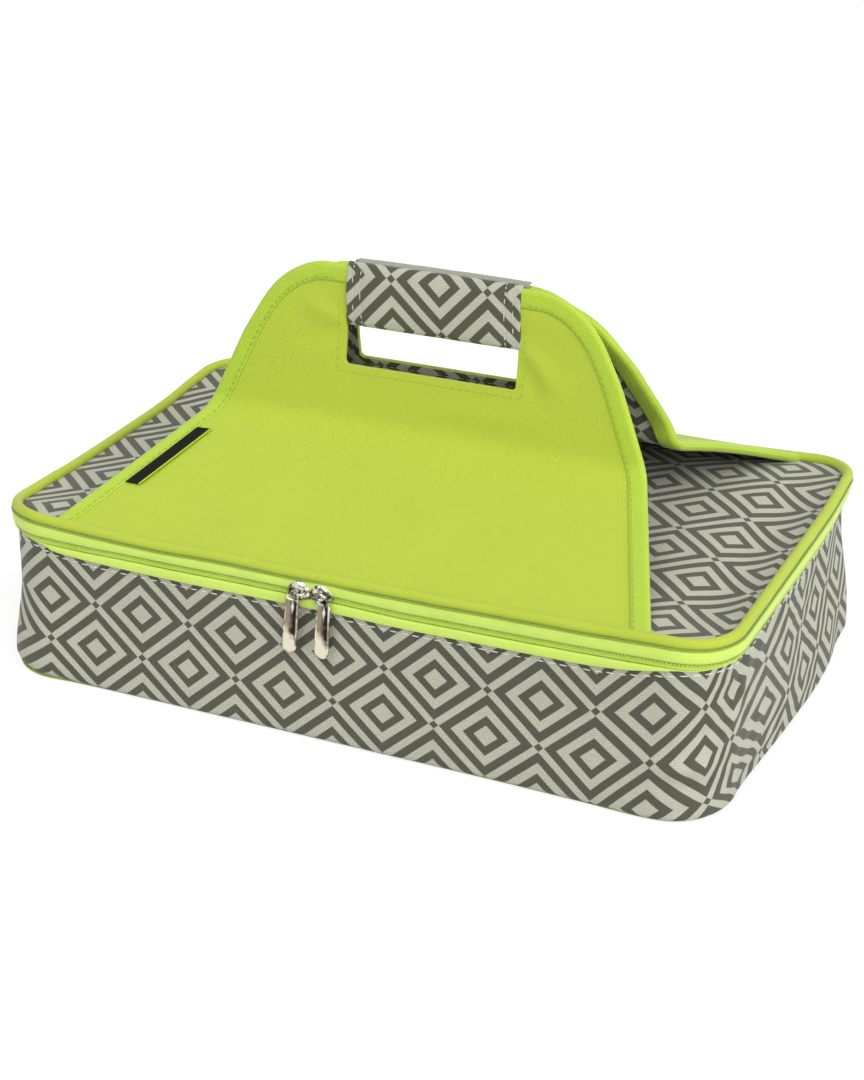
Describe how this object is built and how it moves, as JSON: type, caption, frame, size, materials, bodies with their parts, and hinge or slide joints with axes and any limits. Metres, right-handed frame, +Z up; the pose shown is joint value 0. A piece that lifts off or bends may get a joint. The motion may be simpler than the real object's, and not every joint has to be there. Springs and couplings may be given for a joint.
{
  "type": "casserole carrier",
  "caption": "Insulated zip-round carrier for a baking dish: padded tub and hinged lid with two fold-up handle flaps that meet over the middle.",
  "frame": {"origin": "middle of the base panel's underside, on the surface that the carrier stands on", "axes": "+Z up, +X along the long side, -Y towards the front, where the zip pulls hang at rest"},
  "size_m": [0.4224, 0.2672, 0.2203],
  "materials": {
    "printed_cloth": "ribbed polyester print, concentric diamonds in light and dark grey",
    "canvas": "lime twill canvas, matte",
    "webbing": "lime woven tape, slight sheen",
    "zip_coil": "nylon coil",
    "liner": "silvered insulating film",
    "foam": "closed-cell foam",
    "board": "stiff plastic board",
    "label": "black woven tab, blank",
    "nickel": "polished nickel plate"
  },
  "bodies": {
    "tub": {"base_panel": "printed_cloth", "base_piping": "webbing", "outer_shell": "printed_cloth", "wall_foam": "foam", "base_foam": "foam", "base_board": "board", "tub_liner": "liner", "lower_zip_band": "webbing", "lower_zip_coil": "zip_coil", "hinge_strip": "webbing"},
    "lid": {"lid_panel": "printed_cloth", "lid_piping": "webbing", "lid_foam": "foam", "lid_liner": "liner", "upper_zip_band": "webbing", "upper_zip_coil": "zip_coil"},
    "front_flap": {"front_flap_canvas": "canvas", "front_flap_core": "foam", "front_flap_lining": "printed_cloth", "front_flap_binding_left": "webbing", "front_flap_binding_right": "webbing", "label_tab": "label"},
    "front_handle": {"front_handle_canvas": "canvas", "front_handle_core": "board", "front_handle_lining": "printed_cloth", "front_handle_binding_left": "webbing", "front_handle_binding_right": "webbing", "front_grip_pad": "foam", "front_grip_sleeve": "printed_cloth"},
    "rear_flap": {"rear_flap_canvas": "canvas", "rear_flap_core": "foam", "rear_flap_lining": "printed_cloth", "rear_flap_binding_left": "webbing", "rear_flap_binding_right": "webbing"},
    "rear_handle": {"rear_handle_canvas": "canvas", "rear_handle_core": "board", "rear_handle_lining": "printed_cloth", "rear_handle_binding_left": "webbing", "rear_handle_binding_right": "webbing", "rear_grip_pad": "foam", "rear_grip_sleeve": "printed_cloth"},
    "left_slider": {"left_slider": "nickel"},
    "left_pull": {"left_pull": "nickel"},
    "right_slider": {"right_slider": "nickel"},
    "right_pull": {"right_pull": "nickel"}
  },
  "joints": [
    {"name": "lid_hinge", "type": "hinge", "parent": "tub", "child": "lid", "pos_m": [0, 0.1312, 0.087], "axis": [-1, 0, 0], "range_deg": [0, 100]},
    {"name": "front_flap_seam", "type": "hinge", "parent": "lid", "child": "front_flap", "pos_m": [0, -0.12427, 0.09768], "axis": [1, 0, 0], "range_deg": [0, 60]},
    {"name": "front_handle_fold", "type": "hinge", "parent": "front_flap", "child": "front_handle", "pos_m": [0, -0.0252, 0.13354], "axis": [1, 0, 0], "range_deg": [0, 110]},
    {"name": "rear_flap_seam", "type": "hinge", "parent": "lid", "child": "rear_flap", "pos_m": [0, 0.12427, 0.09768], "axis": [-1, 0, 0], "range_deg": [0, 60]},
    {"name": "rear_handle_fold", "type": "hinge", "parent": "rear_flap", "child": "rear_handle", "pos_m": [0, 0.0252, 0.13354], "axis": [-1, 0, 0], "range_deg": [0, 110]},
    {"name": "left_slider_run", "type": "slide", "parent": "tub", "child": "left_slider", "axis": [-1, 0, 0], "range_m": [0, 0.15]},
    {"name": "left_pull_lift", "type": "hinge", "parent": "left_slider", "child": "left_pull", "pos_m": [-0.0213, -0.1344, 0.087], "axis": [-1, 0, 0], "range_deg": [-5, 165]},
    {"name": "right_slider_run", "type": "slide", "parent": "tub", "child": "right_slider", "axis": [1, 0, 0], "range_m": [0, 0.175]},
    {"name": "right_pull_lift", "type": "hinge", "parent": "right_slider", "child": "right_pull", "pos_m": [-0.0032, -0.1344, 0.087], "axis": [-1, 0, 0], "range_deg": [-5, 165]}
  ]
}
